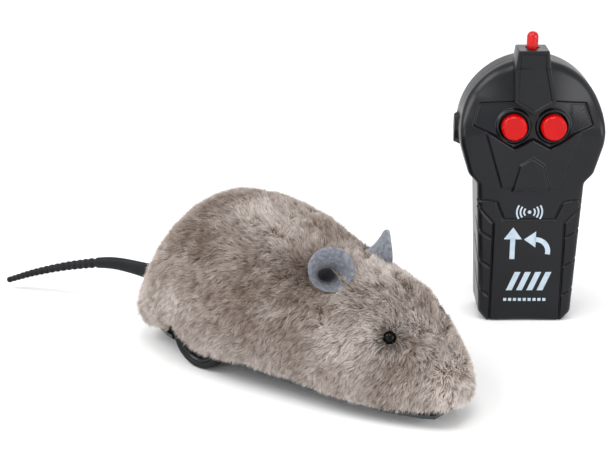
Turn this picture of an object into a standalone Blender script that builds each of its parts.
"""A fur-covered mouse on two driven wheels, with the hand-held control that drives it.

The mouse heads along +X with its left side at +Y. The control stands upright beside its nose.
The origin lies on the floor under the middle of the whole set.
"""

import math

import bmesh
import bpy
from mathutils import Matrix, Vector

# Where the mouse and its control stand
MOUSE_REAR_X = -0.0377
MOUSE_REAR_Y = -0.0519
CONTROL_X = 0.0835
CONTROL_Y = 0.0508
CONTROL_TURN = math.radians(40.2)

# Fits between pieces
GAP = 0.0003
RUNNING_GAP = 0.00035
OVERRUN = 0.004
SMOOTH_ANGLE = math.radians(38)

# The furry body, over the tips of its pile
BODY_LENGTH = 0.160
BODY_WIDTH = 0.075
BODY_HEIGHT = 0.071
PILE_PROUD = 0.0015
COAT = 0.0055
COAT_GAP = 0.0006
WIDEST_SHARE = 0.36
TUCK_SHARE = 0.12
ROUNDNESS_SHARE = 0.9
STATION_SHARES = (0, 0.03, 0.09, 0.18, 0.30, 0.44, 0.58, 0.70, 0.82, 0.92, 0.98, 1.0)
BACK_SHARES = (0.304, 0.432, 0.689, 0.931, 1.0, 0.961, 0.845, 0.779, 0.714, 0.507, 0.352, 0.197)
FLANK_SHARES = (0.16, 0.533, 0.80, 0.933, 1.0, 0.973, 0.88, 0.80, 0.653, 0.453, 0.253, 0.107)
HEM_SHARES = (0.21, 0.185, 0.17, 0.155, 0.15, 0.148, 0.138, 0.12, 0.10, 0.09, 0.095, 0.12)
BODY_RINGS = 15
ARCH_STEPS = 8

# The plastic hull under the coat
HULL_WALL = 0.0016
HULL_RINGS = 11
SEAM_HEIGHT = 0.016

# The chassis
CHASSIS_BOTTOM = 0.0045
CHASSIS_FLOOR = 0.0018
CHASSIS_WALL = 0.0016
CHASSIS_RINGS = 10
FLANGE = 0.0015
FLANGE_REACH = 0.0055
SILL_TUCK = 0.0025

# The screws that hold the hull to the chassis
SCREW_RADIUS = 0.0010
SCREW_HEAD_RADIUS = 0.0022
SCREW_HEAD = 0.0012
SCREW_BITE = 0.0075
SCREW_BOSS_RADIUS = 0.0034
SCREW_BOSS_HEIGHT = 0.0038
REAR_SCREW_X = 0.0205
REAR_SCREW_Y = 0.013
FRONT_SCREW_X = 0.1205
FRONT_SCREW_Y = 0.0100

# The driven wheels and their axle
WHEEL_RADIUS = 0.014
WHEEL_WIDTH = 0.0085
WHEEL_TUCK = 0.0085
TYRE_THICKNESS = 0.0028
TYRE_ROUND = 0.0014
DISH_DEPTH = 0.0016
HUB_BOSS_RADIUS = 0.0032
AXLE_X = 0.043
AXLE_RADIUS = 0.0015
AXLE_INSET = 0.0010
WELL_CLEARANCE = 0.0012
WHEEL_STEPS = 24

# The bearing posts that carry the axle
BUSH_RADIUS = 0.0029
BUSH_LENGTH = 0.0030
POST_LENGTH = 0.0076
POST_TOP_WALL = 0.0016

# The gear train
TOOTH_MODULE = 0.0005
GEAR_TEETH = 24
PINION_TEETH = 8
TIP_SHARE = 0.9
ROOT_SHARE = 1.3
TOOTH_TIP_SHARE = 0.10
TOOTH_ROOT_SHARE = 0.26
GEAR_FACE = 0.0031
GEAR_SIDE_GAP = 0.0006
GEARBOX_RIGHT_Y = -0.0158
GEAR_PLATE = 0.0015
PLATE_MARGIN = 0.0036
IDLER_LEAN = math.radians(50)
IDLER_PIN_RADIUS = 0.0006
MOTOR_SHAFT_RADIUS = 0.0008

# The motor
MOTOR_RADIUS = 0.00775
MOTOR_FLAT = 0.0059
MOTOR_LENGTH = 0.0165
MOTOR_CAP_LENGTH = 0.0032
MOTOR_CAP_SHARE = 0.96
MOTOR_SHAFT_BITE = 0.0040

# The three cells in the chassis
CELL_RADIUS = 0.00525
CELL_LENGTH = 0.0445
CELL_NUB_RADIUS = 0.0019
CELL_NUB = 0.0008
CELL_PITCH = 0.0109
CELL_COUNT = 3
BAY_REAR_X = 0.0660
CONTACT_THICKNESS = 0.0007
CONTACT_HEIGHT = 0.0095
RIB_THICKNESS = 0.0012
RIB_HEIGHT = 0.0078

# The battery door under the mouse
DOOR_PLATE = 0.0016
DOOR_REAR_MARGIN = 0.0056
DOOR_FRONT_MARGIN = 0.0026
DOOR_FRONT_GAP = 0.0005
DOOR_FRONT_BEVEL = 0.0012
DOOR_TAB_LENGTH = 0.0034
DOOR_TAB_WIDTH = 0.003
DOOR_TAB_THICKNESS = 0.0011
DOOR_TAB_SPREAD = 0.006
DOOR_SCREW_SETBACK = 0.0028
DOOR_BOSS_RADIUS = 0.0024
DOOR_BOSS_HEIGHT = 0.0055
THUMB_RIB_LENGTH = 0.014
THUMB_RIB_WIDTH = 0.0008
THUMB_RIB_PROUD = 0.0005
THUMB_RIB_PITCH = 0.0022
THUMB_RIB_COUNT = 4

# The power switch under the mouse
SWITCH_X = 0.018
SWITCH_LENGTH = 0.0085
SWITCH_WIDTH = 0.0040
SWITCH_HEIGHT = 0.0042
KNOB_LENGTH = 0.0026
KNOB_WIDTH = 0.0020
KNOB_PROUD = 0.0012
KNOB_TRAVEL = 0.0020

# The swivelling front wheel
CASTER_X = 0.136
CASTER_TRAIL = 0.0030
CASTER_RADIUS = 0.0045
CASTER_WIDTH = 0.0040
CASTER_PIN_RADIUS = 0.0006
FORK_CHEEK = 0.0010
FORK_BRIDGE = 0.0013
FORK_STEM_RADIUS = 0.0017
FORK_CROWN_RADIUS = 0.0042
CUP_RADIUS = 0.0088
CUP_WALL = 0.0013
CUP_ROOF = 0.0016

# The receiver and its wiring
BOARD_LENGTH = 0.034
BOARD_WIDTH = 0.024
BOARD_THICKNESS = 0.0014
BOARD_REAR_X = 0.0775
BOARD_SHELF = 0.0010
CHIP_LENGTH = 0.0098
CHIP_WIDTH = 0.0040
CHIP_HEIGHT = 0.0017
CAN_RADIUS = 0.0021
CAN_HEIGHT = 0.0062
WIRE_RADIUS = 0.0005
AERIAL_RADIUS = 0.0004

# The tail
TAIL_HEIGHT = 0.0230
TAIL_HALF_WIDTH = 0.0027
TAIL_HALF_THICKNESS = 0.0014
TAIL_MID_RADIUS = 0.0019
TAIL_TIP_RADIUS = 0.0008
TAIL_ANCHOR_HALF_WIDTH = 0.0040
TAIL_ANCHOR = 0.0015
TAIL_LENGTH = 0.092
TAIL_DROP_HEIGHT = 0.0190
TAIL_SWING_WIDTH = 0.0215
TAIL_ROUTE_SHARES = (
    (0.0, 0.0, 0.0),
    (0.12, -0.02, 0.035),
    (0.24, -0.07, 0.085),
    (0.45, -0.23, 0.20),
    (0.66, -0.46, 0.42),
    (0.85, -0.74, 0.72),
    (1.0, -1.0, 1.0),
)
TAIL_BEADS = 21
TAIL_BEAD_START_SHARE = 0.44
TAIL_BEAD_SHARE = 0.28
TAIL_SIDES = 6
TAIL_STRAP_STEPS = 12
TAIL_FINE_STEPS = 400

# The ears
EAR_ALONG_SHARE = 0.665625
EAR_SIDE_SHARE = 0.24
EAR_BASE_SHARE = 0.7155
EAR_RADIUS = 0.0092
EAR_FELT = 0.0012
EAR_CUP = 0.0042
EAR_HEADING = math.radians(50)
EAR_LEAN = math.radians(10)
EAR_STEM_HALF_WIDTH = 0.0032
EAR_STEM_DEPTH = 0.0040
EAR_STEPS = 6
EAR_ROOT_SHARE = 0.12
EAR_CUP_FADE_SHARE = 0.55

# The eyes
EYE_ALONG_SHARE = 0.840625
EYE_HEIGHT_SHARE = 0.51
EYE_RADIUS = 0.0026
EYE_SHANK_RADIUS = 0.0008
EYE_SHANK_BITE = 0.0030
EYE_TURN = math.radians(64)
EYE_LIFT = math.radians(24)
EYE_STEPS = 7

# The hand-held control, seen from its front: shares are of its half width and of its head's height
CONTROL_HALF_WIDTH = 0.0303
CONTROL_HEIGHT = 0.119
HEAD_HEIGHT = 0.0595
HEAD_FROM_SHARE = 0.5
FRONT_DEPTH = 0.014
REAR_DEPTH = 0.011
CONTROL_WALL = 0.0020
EDGE_ROUND = 0.0042
EDGE_ROUND_STEPS = 2
HEAD_CENTRE_SHARE = 0.748
HEAD_STEPS = 16
HEAD_DIP = math.radians(10)
OUTLINE_SHARES = ((0.868, 0.584), (0.759, 0.548), (0.686, 0.036), (0.571, 0.0))
CREST_PROUD = 0.0010
CREST_TOP_SHARE = 1.05
CREST_SHARES = (
    (0.231, CREST_TOP_SHARE),
    (0.264, 0.99),
    (0.30, 0.857),
    (0.0, 0.812),
    (-0.30, 0.857),
    (-0.264, 0.99),
    (-0.231, CREST_TOP_SHARE),
)
CREST_BLOCK_SHARE = 0.94
CREST_BLOCK_DEPTH = 0.0118
VISOR_DEPTH = 0.0013
VISOR_SHARES = (
    (0.69, 0.845),
    (0.86, 0.769),
    (0.594, 0.739),
    (0.257, 0.683),
    (0.0, 0.719),
    (-0.257, 0.683),
    (-0.594, 0.739),
    (-0.86, 0.769),
    (-0.69, 0.845),
)
MUZZLE_PROUD = 0.0005
MUZZLE_SHARES = ((0.60, 0.741), (0.42, 0.534), (-0.42, 0.534), (-0.60, 0.741))
NOSE_PROUD = 0.0012
NOSE_SHARES = (
    (0.0, 0.653),
    (0.18, 0.630),
    (0.265, 0.521),
    (0.22, 0.506),
    (-0.22, 0.506),
    (-0.265, 0.521),
    (-0.18, 0.630),
)
GRIP_SHARES = ((0.50, 0.034), (0.50, 0.393), (0.66, 0.452))
GRIP_LINE_WIDTH = 0.0008
GRIP_GROOVE_SHARES = (0.332, 0.217, 0.101)
GRIP_GROOVE_RISE = 0.0030
GRIP_GROOVE_WIDTH = 0.0009
GRIP_GROOVE_DEPTH = 0.0006
BRIM_SHARES = ((0.62, 0.483), (0.46, 0.479), (0.37, 0.408), (-0.37, 0.408), (-0.46, 0.479), (-0.62, 0.483))
BRIM_WIDTH = 0.0007
BRIM_DEPTH = 0.0005
SIDE_BOSS_RADIUS = 0.0070
SIDE_BOSS_PROUD = 0.0020
SIDE_BOSS_SHARE = 0.76

# The two push buttons and their switches
BUTTON_RADIUS = 0.0055
BUTTON_PROUD = 0.0028
BUTTON_SPREAD = 0.0171
BUTTON_SHARE = 0.765
BUTTON_TRAVEL = 0.0015
BUTTON_FLANGE = 0.0011
BUTTON_FLANGE_REACH = 0.0011
BUTTON_CHAMFER = 0.0007
BUTTON_STEPS = 16
SWITCH_CAN = 0.0060
SWITCH_CAN_DEPTH = 0.0024
PLUNGER_RADIUS = 0.0017
PLUNGER = 0.0006

# The indicator lamp
LAMP_RADIUS = 0.0025
LAMP_RIM_RADIUS = 0.0029
LAMP_RIM = 0.0010
LAMP_LENGTH = 0.0086
LAMP_SINK = 0.0012
LAMP_DEPTH_Y = 0.0062
LEG_HALF_WIDTH = 0.00025
LEG_SPREAD = 0.00254

# The control's board and two cells
CONTROL_BOARD_WIDTH = 0.046
CONTROL_BOARD_LOW_SHARE = 0.575
CONTROL_BOARD_HIGH_SHARE = 0.84
CONTROL_BOARD_THICKNESS = 0.0014
BIG_CELL_RADIUS = 0.00725
BIG_CELL_LENGTH = 0.0505
BIG_CELL_NUB_RADIUS = 0.0027
BIG_CELL_NUB = 0.0012
BIG_CELL_SPREAD = 0.0151
BIG_CONTACT = 0.0008
BIG_CONTACT_HALF_WIDTH = 0.0135
BIG_CONTACT_DEPTH = 0.0110
CELL_FLOOR = 0.0076

# The control's battery door
BACK_DOOR_HALF_WIDTH = 0.0150
BACK_DOOR_LOW = 0.0080
BACK_DOOR_HEADROOM = 0.0024
BACK_DOOR_PLATE = 0.0016
BACK_DOOR_LIP = 0.0016

# The control's screws
SHELL_SCREW_X = 0.0195
SHELL_SCREW_SHARE = 0.874
SHELL_SCREW_MID_SHARE = 0.533
SHELL_SCREW_LOW = 0.0046
SHELL_SCREW_BOSS_RADIUS = 0.0022
SHELL_SCREW_HEAD_RADIUS = 0.0017
SHELL_SCREW_RADIUS = 0.0008
SHELL_SCREW_BITE = 0.0045

# What follows from those sizes
HULL_INSET = PILE_PROUD + COAT + COAT_GAP
EAR_X = EAR_ALONG_SHARE * BODY_LENGTH
EAR_Y = EAR_SIDE_SHARE * BODY_WIDTH
EAR_BASE_HEIGHT = EAR_BASE_SHARE * BODY_HEIGHT
EYE_X = EYE_ALONG_SHARE * BODY_LENGTH
EYE_HEIGHT = EYE_HEIGHT_SHARE * BODY_HEIGHT
WHEEL_OUTER = BODY_WIDTH / 2 - WHEEL_TUCK
WHEEL_INNER = WHEEL_OUTER - WHEEL_WIDTH
WELL_RADIUS = WHEEL_RADIUS + WELL_CLEARANCE
FLOOR_TOP = CHASSIS_BOTTOM + CHASSIS_FLOOR
GEAR_RADIUS = TOOTH_MODULE * GEAR_TEETH / 2
PINION_RADIUS = TOOTH_MODULE * PINION_TEETH / 2
GEAR_CENTRES = GEAR_RADIUS + PINION_RADIUS
IDLER_X = AXLE_X + GEAR_CENTRES * math.cos(IDLER_LEAN)
IDLER_Z = WHEEL_RADIUS + GEAR_CENTRES * math.sin(IDLER_LEAN)
MOTOR_X = IDLER_X + GEAR_CENTRES
MOTOR_Z = IDLER_Z
FIRST_MESH_Y = GEARBOX_RIGHT_Y + GEAR_PLATE + GEAR_SIDE_GAP
SECOND_MESH_Y = FIRST_MESH_Y + GEAR_FACE + GEAR_SIDE_GAP
GEARBOX_LEFT_Y = SECOND_MESH_Y + GEAR_FACE + GEAR_SIDE_GAP
MOTOR_Y = GEARBOX_LEFT_Y + GEAR_PLATE + GAP
CELL_X = BAY_REAR_X + CONTACT_THICKNESS + 2 * GAP
BAY_FRONT_X = CELL_X + CELL_LENGTH + CONTACT_THICKNESS + 2 * GAP
BAY_HALF_WIDTH = CELL_PITCH * (CELL_COUNT - 1) / 2 + CELL_RADIUS + 3 * GAP
CELL_Z = FLOOR_TOP + CELL_RADIUS + 2 * GAP
DOOR_REAR_X = BAY_REAR_X - DOOR_REAR_MARGIN
HATCH_FRONT_X = BAY_FRONT_X + DOOR_FRONT_MARGIN
DOOR_HINGE_Z = FLOOR_TOP + GAP
DOOR_SCREW_X = DOOR_REAR_X + DOOR_SCREW_SETBACK
BOARD_Z = CELL_Z + CELL_RADIUS + BOARD_SHELF + GAP
BRIDGE_Z = 2 * CASTER_RADIUS + 3 * GAP
CUP_TOP = BRIDGE_Z + FORK_BRIDGE + GAP
CONTROL_DEPTH = FRONT_DEPTH + REAR_DEPTH
WALL_BACK_Y = VISOR_DEPTH + CONTROL_WALL
FLANGE_Y = WALL_BACK_Y + GAP
PLUNGER_Y = FLANGE_Y + BUTTON_FLANGE + BUTTON_TRAVEL + GAP
CONTROL_BOARD_Y = PLUNGER_Y + PLUNGER + SWITCH_CAN_DEPTH + GAP
BIG_CELL_Y = CONTROL_WALL + BIG_CELL_RADIUS + 2 * GAP


# How high a share of the control stands
def control_up(share):
    """The head keeps its shape below the top, and the grip takes up the rest of the height."""
    if share < HEAD_FROM_SHARE:
        return (CONTROL_HEIGHT - HEAD_HEIGHT) * share / HEAD_FROM_SHARE
    return CONTROL_HEIGHT - HEAD_HEIGHT * (1 - share) / (1 - HEAD_FROM_SHARE)


BUTTON_Z = control_up(BUTTON_SHARE)
LAMP_SEAT = control_up(CREST_TOP_SHARE) - LAMP_SINK - LAMP_RIM
BACK_DOOR_TOP = control_up(SHELL_SCREW_MID_SHARE) - BACK_DOOR_HEADROOM


def clear_scene():
    for leftover in list(bpy.data.objects):
        bpy.data.objects.remove(leftover)


def finish(name, colour, roughness, metallic=0.0):
    """One Principled material, in the part's own colour."""
    made = bpy.data.materials.new(name)
    made.use_nodes = True
    shader = made.node_tree.nodes["Principled BSDF"]
    shader.inputs["Base Color"].default_value = (*colour, 1.0)
    shader.inputs["Roughness"].default_value = roughness
    shader.inputs["Metallic"].default_value = metallic
    made.diffuse_color = (*colour, 1.0)
    return made


def spot(across, up, along, axis):
    """A point of a flat outline, placed at a distance along the axis that it faces."""
    if axis == "X":
        return (along, across, up)
    if axis == "Y":
        return (across, along, up)
    return (across, up, along)


def prism(outline, low, high, axis="Y"):
    """A flat outline pushed along one axis."""
    count = len(outline)
    points = [spot(a, b, low, axis) for a, b in outline] + [spot(a, b, high, axis) for a, b in outline]
    sides = [(i, (i + 1) % count, count + (i + 1) % count, count + i) for i in range(count)]
    return points, [tuple(range(count)), tuple(range(count, 2 * count))] + sides


def box(low, high):
    outline = ((low[0], low[1]), (high[0], low[1]), (high[0], high[1]), (low[0], high[1]))
    return prism(outline, low[2], high[2], "Z")


def disc_outline(radius, steps, centre=(0, 0), start=0):
    angles = [start + math.tau * i / steps for i in range(steps)]
    return [(centre[0] + radius * math.cos(a), centre[1] + radius * math.sin(a)) for a in angles]


def rod(radius, low, high, axis, centre=(0, 0), steps=12):
    return prism(disc_outline(radius, steps, centre), low, high, axis)


def turned(profile, steps, axis="Y"):
    """A profile of (radius, along) points turned about an axis; one that meets no axis closes on itself."""
    points, rings = [], []
    for radius, along in profile:
        corners = disc_outline(radius, steps) if radius else [(0, 0)]
        rings.append([len(points) + i for i in range(len(corners))])
        points += [spot(a, b, along, axis) for a, b in corners]
    ring_shaped = profile[0][0] > 0
    following = rings[1:] + (rings[:1] if ring_shaped else [])
    faces = []
    for near, far in zip(rings, following):
        for i in range(steps):
            j = i + 1
            loop = (near[i % len(near)], near[j % len(near)], far[j % len(far)], far[i % len(far)])
            faces.append(tuple(dict.fromkeys(loop)))
    return points, faces


def lofted(rings):
    """Closed rings of equal count joined in order, with a cap on each end."""
    count = len(rings[0])
    points = [point for ring in rings for point in ring]
    faces = [tuple(range(count)), tuple(range(len(points) - count, len(points)))]
    for level in range(len(rings) - 1):
        base = level * count
        for i in range(count):
            j = (i + 1) % count
            faces.append((base + i, base + j, base + count + j, base + count + i))
    return points, faces


def moved(shape, place):
    points, faces = shape
    return [tuple(Vector(point) + Vector(place)) for point in points], faces


def turned_by(shape, matrix):
    points, faces = shape
    return [tuple(matrix @ Vector(point)) for point in points], faces


def gathered(shapes):
    """Several shapes in one mesh, each still a body of its own."""
    points, faces = [], []
    for some_points, some_faces in shapes:
        base = len(points)
        points += some_points
        faces += [tuple(base + i for i in face) for face in some_faces]
    return points, faces


def mirrored_sides(make):
    """The same shape on both sides of the middle."""
    return gathered([make(side) for side in (-1, 1)])


def piece(name, shape, material, parent, place=(0, 0, 0)):
    """One named solid with its faces pointing out."""
    points, faces = shape
    mesh = bpy.data.meshes.new(name)
    mesh.from_pydata([tuple(point) for point in points], [], faces)
    work = bmesh.new()
    work.from_mesh(mesh)
    bmesh.ops.recalc_face_normals(work, faces=work.faces)
    work.to_mesh(mesh)
    work.free()
    mesh.materials.append(material)
    mesh.shade_smooth()
    mesh.set_sharp_from_angle(angle=SMOOTH_ANGLE)
    made = bpy.data.objects.new(name, mesh)
    made.parent = parent
    made.location = place
    bpy.context.scene.collection.objects.link(made)
    return made


def shaped(target, shape, operation):
    """Cuts, joins or keeps part of a piece, with a helper shape that stays in the file unseen."""
    label = f"{target.name}_{operation.lower()}_{len(target.modifiers)}"
    tool = piece(label, shape, target.data.materials[0], target.parent, target.location)
    tool.hide_render = True
    tool.display_type = "WIRE"
    boolean = target.modifiers.new(label, "BOOLEAN")
    boolean.operation = operation
    boolean.object = tool
    return tool


def carve(target, shape):
    return shaped(target, shape, "DIFFERENCE")


def fuse(target, shape):
    return shaped(target, shape, "UNION")


def anchor(name, place, turn=0.0):
    empty = bpy.data.objects.new(name, None)
    empty.location = place
    empty.rotation_euler = (0, 0, turn)
    bpy.context.scene.collection.objects.link(empty)
    return empty


def smooth_route(route, steps):
    """A smooth curve through a few points, read at even steps of its parameter."""
    places = [Vector(point) for point in route]
    ends = [places[0] * 2 - places[1]] + places + [places[-1] * 2 - places[-2]]
    spans = len(places) - 1
    found = []
    for i in range(steps + 1):
        reach = spans * i / steps
        span = min(int(reach), spans - 1)
        t = reach - span
        a, b, c, d = ends[span : span + 4]
        bend = (2 * a - 5 * b + 4 * c - d) * t**2
        twist = (3 * b - a - 3 * c + d) * t**3
        found.append((2 * b + (c - a) * t + bend + twist) / 2)
    return found


def wire(name, route, radius, material, parent, steps=12):
    curve = bpy.data.curves.new(name, "CURVE")
    curve.dimensions = "3D"
    curve.bevel_depth = radius
    curve.bevel_resolution = 1
    curve.use_fill_caps = True
    found = smooth_route(route, steps)
    spline = curve.splines.new("POLY")
    spline.points.add(len(found) - 1)
    for knot, place in zip(spline.points, found):
        knot.co = (*place, 1.0)
    curve.materials.append(material)
    made = bpy.data.objects.new(name, curve)
    made.parent = parent
    bpy.context.scene.collection.objects.link(made)
    return made


# The form of the furry body
def read_share(values, share):
    """The smooth value between hand-chosen shares along the body."""
    spot_at = max(i for i, station in enumerate(STATION_SHARES[:-1]) if station <= share)
    slopes = []
    for i in (spot_at, spot_at + 1):
        before, after = max(i - 1, 0), min(i + 1, len(values) - 1)
        slopes.append((values[after] - values[before]) / (STATION_SHARES[after] - STATION_SHARES[before]))
    span = STATION_SHARES[spot_at + 1] - STATION_SHARES[spot_at]
    t = (share - STATION_SHARES[spot_at]) / span
    rise = 3 * t**2 - 2 * t**3
    start_pull = span * slopes[0] * (t**3 - 2 * t**2 + t)
    end_pull = span * slopes[1] * (t**3 - t**2)
    return values[spot_at] * (1 - rise) + values[spot_at + 1] * rise + start_pull + end_pull


def body_sizes(x, inset):
    """Half width, hem height and top height of the body at x, with its skin set in."""
    share = min(max(x / BODY_LENGTH, 0), 1)
    flank = read_share(FLANK_SHARES, share) * BODY_WIDTH / 2 - inset
    hem = read_share(HEM_SHARES, share) * BODY_HEIGHT
    return flank, hem, read_share(BACK_SHARES, share) * BODY_HEIGHT - inset


def half_width_at(x, z, inset):
    flank, hem, top = body_sizes(x, inset)
    widest = hem + WIDEST_SHARE * (top - hem)
    if z < widest:
        return flank * (1 - TUCK_SHARE * ((widest - z) / (widest - hem)) ** 2)
    sine = min((z - widest) / (top - widest), 1)
    return flank * math.sqrt(1 - sine**2) ** ROUNDNESS_SHARE


def arch(x, inset, floor=None):
    """Half a hoop of the body from its right edge over the back to its left edge."""
    flank, hem, top = body_sizes(x, inset)
    low = hem if floor is None else floor
    heights = [low + (top - low) * math.sin(math.pi / 2 * i / ARCH_STEPS) for i in range(ARCH_STEPS)]
    right = [(x, -half_width_at(x, z, inset), z) for z in heights]
    left = [(x, -y, z) for x, y, z in reversed(right)]
    return right + [(x, 0, top)] + left


def stations(inset, count):
    """Places along the body, closer together towards its ends."""
    length = BODY_LENGTH - 2 * inset
    return [inset + length * (1 - math.cos(math.pi * i / (count - 1))) / 2 for i in range(count)]


def body_shell(outer, inner, rings, floor=None):
    """An open-bottomed shell between two depths in the body."""
    outside = [arch(x, outer, floor) for x in stations(outer, rings)]
    inside = [arch(x, inner, floor) for x in stations(inner, rings)]
    count = len(outside[0])
    points = [point for ring in outside + inside for point in ring]
    depth = rings * count
    faces = []
    for ring in range(rings - 1):
        low, high = ring * count, (ring + 1) * count
        for i in range(count - 1):
            faces.append((low + i, low + i + 1, high + i + 1, high + i))
            faces.append((depth + low + i, depth + high + i, depth + high + i + 1, depth + low + i + 1))
        for edge in (0, count - 1):
            faces.append((low + edge, high + edge, depth + high + edge, depth + low + edge))
    for ring in (0, rings - 1):
        low = ring * count
        faces.append(tuple(range(low, low + count)))
        faces.append(tuple(range(depth + low, depth + low + count)))
        faces.append((low, low + count - 1, depth + low + count - 1, depth + low))
    return points, faces


def body_core(inset, floor):
    return lofted([arch(x, inset, floor) for x in stations(inset, HULL_RINGS)])


# Coat, hull, ears, eyes and tail
def wheel_wells(reach):
    """The room that both wheels need in the body's sides."""
    inner = WHEEL_INNER - 2 * GAP

    def well(side):
        low, high = sorted((side * inner, side * reach))
        return rod(WELL_RADIUS, low, high, "Y", (AXLE_X, WHEEL_RADIUS), WHEEL_STEPS)

    return mirrored_sides(well)


def tail_slot():
    half_width, half_height = TAIL_HALF_WIDTH + GAP, TAIL_HALF_THICKNESS + 2 * GAP
    low = (-OVERRUN, -half_width, TAIL_HEIGHT - half_height)
    high = (HULL_INSET + HULL_WALL + OVERRUN, half_width, TAIL_HEIGHT + half_height)
    return box(low, high)


def ear_frame(side):
    """An ear's own frame: X across the felt, Y out of its back, Z up from its root."""
    heading = math.pi / 2 + side * EAR_HEADING
    turn = Matrix.Rotation(heading, 4, "Z") @ Matrix.Rotation(-EAR_LEAN, 4, "X")
    return Matrix.Translation((EAR_X, side * EAR_Y, EAR_BASE_HEIGHT)) @ turn


def ear_sheet(back):
    """A grid of points over the cupped felt disc and its stem."""
    rows = []
    for i in range(EAR_STEPS + 1):
        rise = i / EAR_STEPS
        angle = math.pi * (EAR_ROOT_SHARE + (1 - EAR_ROOT_SHARE) * rise)
        width = max(EAR_RADIUS * math.sin(angle), EAR_STEM_HALF_WIDTH * (1 - rise))
        width = max(width, EAR_FELT)
        height = EAR_RADIUS * (math.cos(math.pi * EAR_ROOT_SHARE) - math.cos(angle))
        cup = EAR_CUP * (1 - EAR_CUP_FADE_SHARE * rise)
        row = []
        for j in range(EAR_STEPS + 1):
            across = 2 * j / EAR_STEPS - 1
            row.append((width * across, back - cup * across**2 * width / EAR_RADIUS, height))
        rows.append(row)
    return rows


def ear_shape():
    front, rear = ear_sheet(0), ear_sheet(EAR_FELT)
    count = EAR_STEPS + 1
    points = [point for row in front + rear for point in row]
    depth = count * count
    faces = []
    for i in range(EAR_STEPS):
        for j in range(EAR_STEPS):
            corner = i * count + j
            quad = (corner, corner + 1, corner + count + 1, corner + count)
            faces.append(quad)
            faces.append(tuple(depth + k for k in reversed(quad)))
    bottom = list(range(EAR_STEPS))
    right = [i * count + EAR_STEPS for i in range(EAR_STEPS)]
    top = [EAR_STEPS * count + j for j in range(EAR_STEPS, 0, -1)]
    left = [i * count for i in range(EAR_STEPS, 0, -1)]
    edge = bottom + right + top + left
    for here, after in zip(edge, edge[1:] + edge[:1]):
        faces.append((here, after, depth + after, depth + here))
    return points, faces


def ear_stem():
    low = (-EAR_STEM_HALF_WIDTH, 0, -EAR_STEM_DEPTH)
    return box(low, (EAR_STEM_HALF_WIDTH, EAR_FELT, EAR_FELT))


def ear_slot(side):
    """The room an ear needs where it dips into the coat."""
    half_width = EAR_STEM_HALF_WIDTH + GAP
    stem = box((-half_width, -GAP, -EAR_STEM_DEPTH - GAP), (half_width, EAR_FELT + GAP, OVERRUN))
    return turned_by(stem, ear_frame(side))


def ear_hollow(side):
    reach = EAR_STEM_HALF_WIDTH + EAR_FELT
    room = box((-reach, -EAR_CUP / 2, -GAP), (reach, EAR_FELT + GAP, OVERRUN))
    return turned_by(room, ear_frame(side))


def eye_frame(side):
    """An eye's own frame: Y points out of the head."""
    turn = Matrix.Rotation(side * EYE_TURN - math.pi / 2, 4, "Z")
    surface = half_width_at(EYE_X, EYE_HEIGHT, PILE_PROUD)
    return Matrix.Translation((EYE_X, side * surface, EYE_HEIGHT)) @ turn @ Matrix.Rotation(EYE_LIFT, 4, "X")


def eye_shape(play=0.0, reach=0.0):
    radius = EYE_RADIUS + play
    shank = EYE_SHANK_RADIUS + play
    start = math.asin(shank / radius)
    bead = []
    for i in range(EYE_STEPS):
        angle = start + (math.pi - start) * i / EYE_STEPS
        bead.append((radius * math.sin(angle), -radius * math.cos(angle)))
    depth = -COAT - GAP - EYE_SHANK_BITE - reach
    return turned([(0, depth), (shank, depth)] + bead + [(0, radius)], 12)


def make_coat(fur, mouse):
    skin = body_shell(PILE_PROUD, PILE_PROUD + COAT, BODY_RINGS)
    coat = piece("fur_cover", skin, fur, mouse)
    carve(coat, wheel_wells(WHEEL_OUTER + 3 * GAP))
    carve(coat, tail_slot())
    carve(coat, mirrored_sides(ear_slot))
    carve(coat, mirrored_sides(ear_hollow))
    carve(coat, mirrored_sides(lambda side: turned_by(eye_shape(GAP), eye_frame(side))))


def screw_places():
    rear = [(REAR_SCREW_X, side * REAR_SCREW_Y) for side in (-1, 1)]
    return rear + [(FRONT_SCREW_X, side * FRONT_SCREW_Y) for side in (-1, 1)]


def make_hull(plastic, mouse):
    skin = body_shell(HULL_INSET, HULL_INSET + HULL_WALL, HULL_RINGS, SEAM_HEIGHT)
    hull = piece("upper_hull", skin, plastic, mouse)
    pillar_foot = CHASSIS_BOTTOM + SCREW_BOSS_HEIGHT + GAP
    pillars = gathered(
        [rod(SCREW_BOSS_RADIUS, pillar_foot, BODY_HEIGHT, "Z", place, 8) for place in screw_places()]
    )
    posts = fuse(hull, pillars)
    shaped(posts, body_core(HULL_INSET + HULL_WALL / 2, CHASSIS_BOTTOM), "INTERSECT")
    bore_top = pillar_foot + SCREW_BITE + GAP
    bores = [rod(SCREW_RADIUS + GAP, CHASSIS_BOTTOM, bore_top, "Z", place, 8) for place in screw_places()]
    carve(hull, gathered(bores))
    carve(hull, wheel_wells(BODY_WIDTH / 2))
    carve(hull, tail_slot())
    carve(hull, mirrored_sides(lambda side: turned_by(eye_shape(GAP, OVERRUN), eye_frame(side))))


def tail_route():
    """From the anchor behind the hull's wall, out of the coat and down to the tip."""
    root = HULL_INSET + HULL_WALL + GAP
    return [
        (root - TAIL_LENGTH * back, TAIL_SWING_WIDTH * swing, TAIL_HEIGHT - TAIL_DROP_HEIGHT * drop)
        for back, swing, drop in TAIL_ROUTE_SHARES
    ]


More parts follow.
